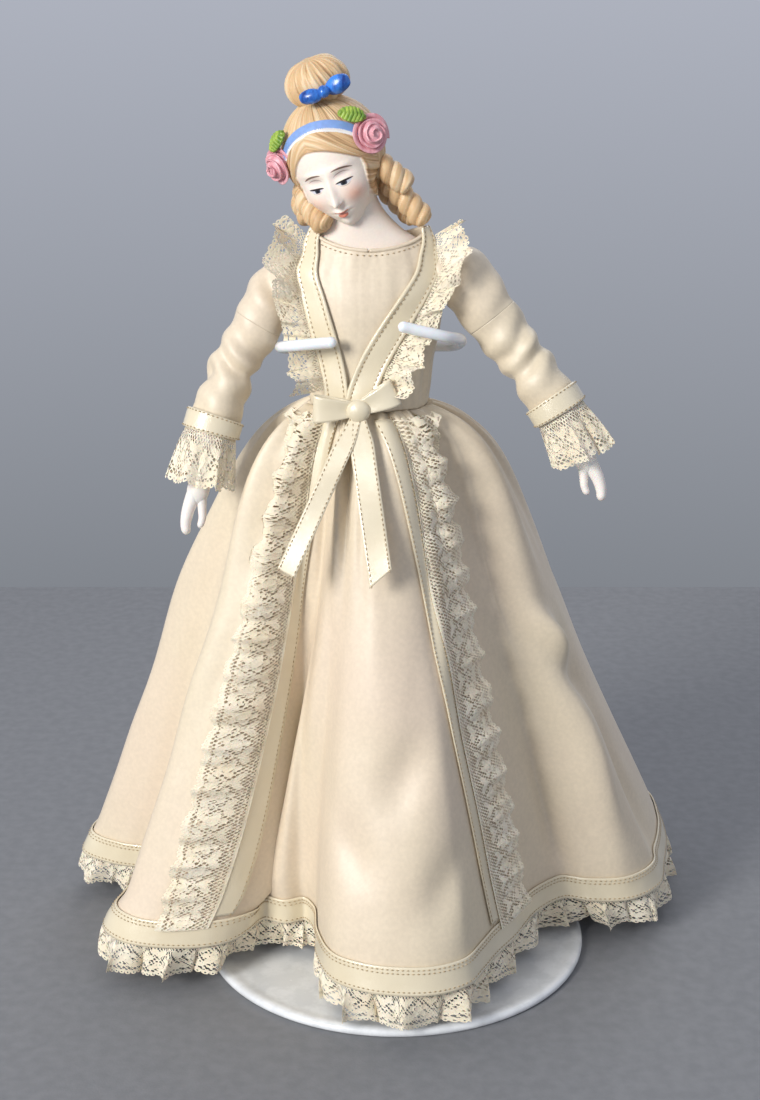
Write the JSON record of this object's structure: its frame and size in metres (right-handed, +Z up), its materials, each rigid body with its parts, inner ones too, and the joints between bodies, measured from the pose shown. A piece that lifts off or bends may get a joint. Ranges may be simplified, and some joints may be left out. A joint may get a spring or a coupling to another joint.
{
  "type": "porcelain doll on stand",
  "caption": "Porcelain lady doll in a long lace-trimmed satin gown, held upright by the waist clip of a round metal display stand.",
  "frame": {"origin": "centre of the stand base's underside", "axes": "+Z up, the doll faces -Y, +X towards the doll's own left"},
  "size_m": [0.1868, 0.1386, 0.247],
  "materials": {
    "white_enamel": "glossy baked white enamel",
    "steel": "plain drawn steel",
    "white_vinyl": "glossy white vinyl sleeve",
    "bisque": "matt bisque porcelain with painted hair and face",
    "pink_bisque": "painted pink bisque",
    "green_bisque": "painted leaf green bisque",
    "blue_bisque": "glossy painted blue",
    "muslin": "plain cotton body cloth over firm stuffing",
    "satin": "champagne dress satin",
    "ribbon": "glossy ivory satin ribbon, stitched along both edges",
    "lace": "ivory cotton lace, flowered net with a scalloped edge"
  },
  "bodies": {
    "stand": {"base_disc": "white_enamel", "base_screw": "steel", "post_tube": "white_enamel"},
    "collar": {"post_grommet": "white_vinyl"},
    "figure": {"inner_rod": "steel", "clip_clamp": "white_enamel", "clip_wire": "steel", "clip_sleeve_left": "white_vinyl", "clip_sleeve_right": "white_vinyl", "porcelain_head": "bisque", "hair_bow": "blue_bisque", "rose_left": "pink_bisque", "rose_right": "pink_bisque", "rose_leaf_left": "green_bisque", "rose_leaf_right": "green_bisque", "torso": "muslin", "bodice": "satin", "bodice_ribbon_left": "ribbon", "bodice_ribbon_right": "ribbon", "shoulder_frill_left": "lace", "shoulder_frill_right": "lace", "back_snap_1": "steel", "back_snap_2": "steel", "back_snap_3": "steel", "skirt": "satin", "hem_ribbon": "ribbon", "hem_lace": "lace", "skirt_ribbon_left": "ribbon", "skirt_ribbon_right": "ribbon", "skirt_lace_left": "lace", "skirt_lace_right": "lace", "waist_bow": "ribbon"},
    "arm_left": {"upper_arm_left": "muslin", "upper_sleeve_left": "satin"},
    "arm_right": {"upper_arm_right": "muslin", "upper_sleeve_right": "satin"},
    "forearm_left": {"forearm_left": "bisque", "lower_sleeve_left": "satin", "cuff_ribbon_left": "ribbon", "cuff_lace_left": "lace"},
    "forearm_right": {"forearm_right": "bisque", "lower_sleeve_right": "satin", "cuff_ribbon_right": "ribbon", "cuff_lace_right": "lace"},
    "leg_left": {"thigh_left": "muslin", "lower_leg_left": "bisque"},
    "leg_right": {"thigh_right": "muslin", "lower_leg_right": "bisque"}
  },
  "joints": [
    {"name": "post_swivel", "type": "hinge", "parent": "stand", "child": "collar", "pos_m": [-0.007, 0.017, 0], "axis": [0, 0, 1], "continuous": true},
    {"name": "post_slide", "type": "slide", "parent": "collar", "child": "figure", "axis": [0, 0, 1], "range_m": [0, 0.035]},
    {"name": "shoulder_left_swing", "type": "hinge", "parent": "figure", "child": "arm_left", "pos_m": [0.0165, -0.001, 0.191], "axis": [-1, 0, 0], "range_deg": [-5, 60]},
    {"name": "shoulder_right_swing", "type": "hinge", "parent": "figure", "child": "arm_right", "pos_m": [-0.0295, -0.001, 0.19], "axis": [-1, 0, 0], "range_deg": [-5, 19]},
    {"name": "elbow_left_bend", "type": "hinge", "parent": "arm_left", "child": "forearm_left", "pos_m": [0.0325, -0.004, 0.171], "axis": [-0.8081, 0, -0.5891], "range_deg": [-5, 40]},
    {"name": "elbow_right_bend", "type": "hinge", "parent": "arm_right", "child": "forearm_right", "pos_m": [-0.042, -0.0035, 0.169], "axis": [-0.9326, 0, 0.3609], "range_deg": [-5, 40]},
    {"name": "hip_left_swing", "type": "hinge", "parent": "figure", "child": "leg_left", "pos_m": [0, -0.002, 0.121], "axis": [-1, 0, 0], "range_deg": [-4, 14]},
    {"name": "hip_right_swing", "type": "hinge", "parent": "figure", "child": "leg_right", "pos_m": [-0.014, -0.002, 0.121], "axis": [-1, 0, 0], "range_deg": [-4, 14]}
  ]
}
